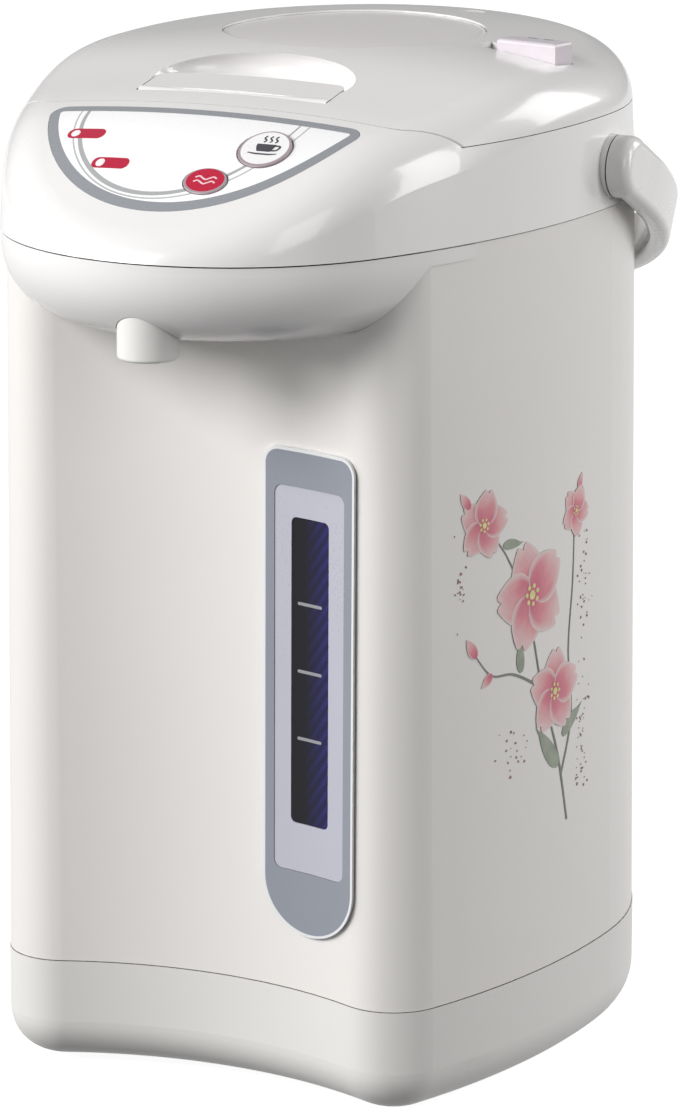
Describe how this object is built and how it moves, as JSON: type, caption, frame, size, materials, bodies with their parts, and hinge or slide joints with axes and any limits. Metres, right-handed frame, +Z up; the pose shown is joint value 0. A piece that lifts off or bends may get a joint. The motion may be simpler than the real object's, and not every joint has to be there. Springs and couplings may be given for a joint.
{
  "type": "hot water dispenser",
  "caption": "Electric airpot on a swivel base: a tall jacketed pot with a spout, control panel, hand pump plate, latching lid, level gauge and swing handle.",
  "frame": {"origin": "on the axis that the dispenser swivels about, at the surface it stands on", "axes": "+Z up; the spout points along -Y; +X is to the right of someone facing the spout"},
  "size_m": [0.2212, 0.2833, 0.358],
  "materials": {
    "white_plastic": "glossy",
    "liner_plastic": "satin",
    "white_paint": "pearl paint",
    "panel_film": "satin film",
    "red_plastic": "glossy",
    "lens_plastic": "clear",
    "slider_plastic": "glossy",
    "bezel_plastic": "glossy",
    "label_plastic": "satin",
    "window_plastic": "clear, dark",
    "tube_clear": "clear",
    "pot_steel": "brushed",
    "bright_steel": "bright",
    "silicone": "matt",
    "dark_rubber": "matt",
    "grey_plastic": "satin",
    "black_plastic": "satin",
    "brass": "polished",
    "board": "satin"
  },
  "bodies": {
    "turntable": {"turntable": "grey_plastic", "rubber_feet": "dark_rubber", "swivel_retainer": "grey_plastic", "swivel_screw": "bright_steel"},
    "housing": {"base_shell": "white_plastic", "body_jacket": "white_paint", "gauge_bezel": "bezel_plastic", "gauge_label": "label_plastic", "gauge_window": "window_plastic", "level_tube": "tube_clear", "inner_pot": "pot_steel", "pot_seal": "silicone", "pot_filter": "pot_steel", "heater_plate": "bright_steel", "thermostat": "bright_steel", "pot_cradle": "bright_steel", "cradle_screws": "bright_steel", "pump_housing": "liner_plastic", "pump_motor": "bright_steel", "inlet_tube": "silicone", "outlet_elbow": "silicone", "outlet_pipe": "silicone", "collar": "white_plastic", "panel_overlay": "panel_film", "indicator_lenses": "lens_plastic", "control_board": "board", "chin_cover": "white_plastic", "spout_nozzle": "liner_plastic", "power_inlet": "black_plastic", "inlet_pins": "brass", "main_board": "board", "hinge_pin": "bright_steel"},
    "lid": {"lid_shell": "white_plastic", "lid_screws": "bright_steel", "lever_pin": "bright_steel", "latch_spring": "bright_steel", "lid_liner": "liner_plastic", "inner_lid": "pot_steel", "lid_gasket": "silicone", "steam_vent": "liner_plastic", "pump_bellows": "silicone", "pump_spring": "bright_steel"},
    "lid_lever": {"lid_lever": "white_plastic"},
    "lid_latch": {"lid_latch": "liner_plastic"},
    "pump_plate": {"pump_plate": "white_plastic"},
    "lock_slider": {"lock_slider": "slider_plastic"},
    "dispense_button": {"dispense_button": "white_plastic"},
    "reboil_button": {"reboil_button": "red_plastic"},
    "carry_handle": {"carry_handle": "white_plastic", "handle_pins": "liner_plastic"}
  },
  "joints": [
    {"name": "swivel", "type": "hinge", "parent": "turntable", "child": "housing", "pos_m": [0, 0, 0.006], "axis": [0, 0, 1], "continuous": true},
    {"name": "lid_hinge", "type": "hinge", "parent": "housing", "child": "lid", "pos_m": [0, 0.0844, 0.3502], "axis": [-1, 0, 0], "range_deg": [0, 85]},
    {"name": "lever_tilt", "type": "hinge", "parent": "lid", "child": "lid_lever", "pos_m": [0, -0.0884, 0.3439], "axis": [1, 0, 0], "range_deg": [0, 25], "stiffness_Nm_per_rad": 0.1, "springref_deg": -11.46},
    {"name": "latch_slide", "type": "slide", "parent": "lid", "child": "lid_latch", "axis": [0, 1, 0], "range_m": [0, 0.0051], "deforming": ["latch_spring"]},
    {"name": "pump_plate_press", "type": "slide", "parent": "lid", "child": "pump_plate", "axis": [0, 0, 1], "range_m": [-0.01, 0], "stiffness_N_per_m": 400, "springref_m": 0.002, "deforming": ["pump_bellows", "pump_spring"]},
    {"name": "lock_slide", "type": "slide", "parent": "lid", "child": "lock_slider", "axis": [-0.9781, 0.2079, 0], "range_m": [0, 0.008]},
    {"name": "dispense_press", "type": "slide", "parent": "housing", "child": "dispense_button", "axis": [0, -0.5, 0.866], "range_m": [-0.001, 0], "stiffness_N_per_m": 800, "springref_m": 0.0005},
    {"name": "reboil_press", "type": "slide", "parent": "housing", "child": "reboil_button", "axis": [0, -0.5736, 0.8192], "range_m": [-0.001, 0], "stiffness_N_per_m": 800, "springref_m": 0.0005},
    {"name": "handle_swing", "type": "hinge", "parent": "housing", "child": "carry_handle", "pos_m": [0, 0, 0.3154], "axis": [-1, 0, 0], "range_deg": [-178, 0]}
  ],
  "couplings": [
    {"joint": "latch_slide", "follows": "lever_tilt", "m_per_rad": 0.01146}
  ]
}
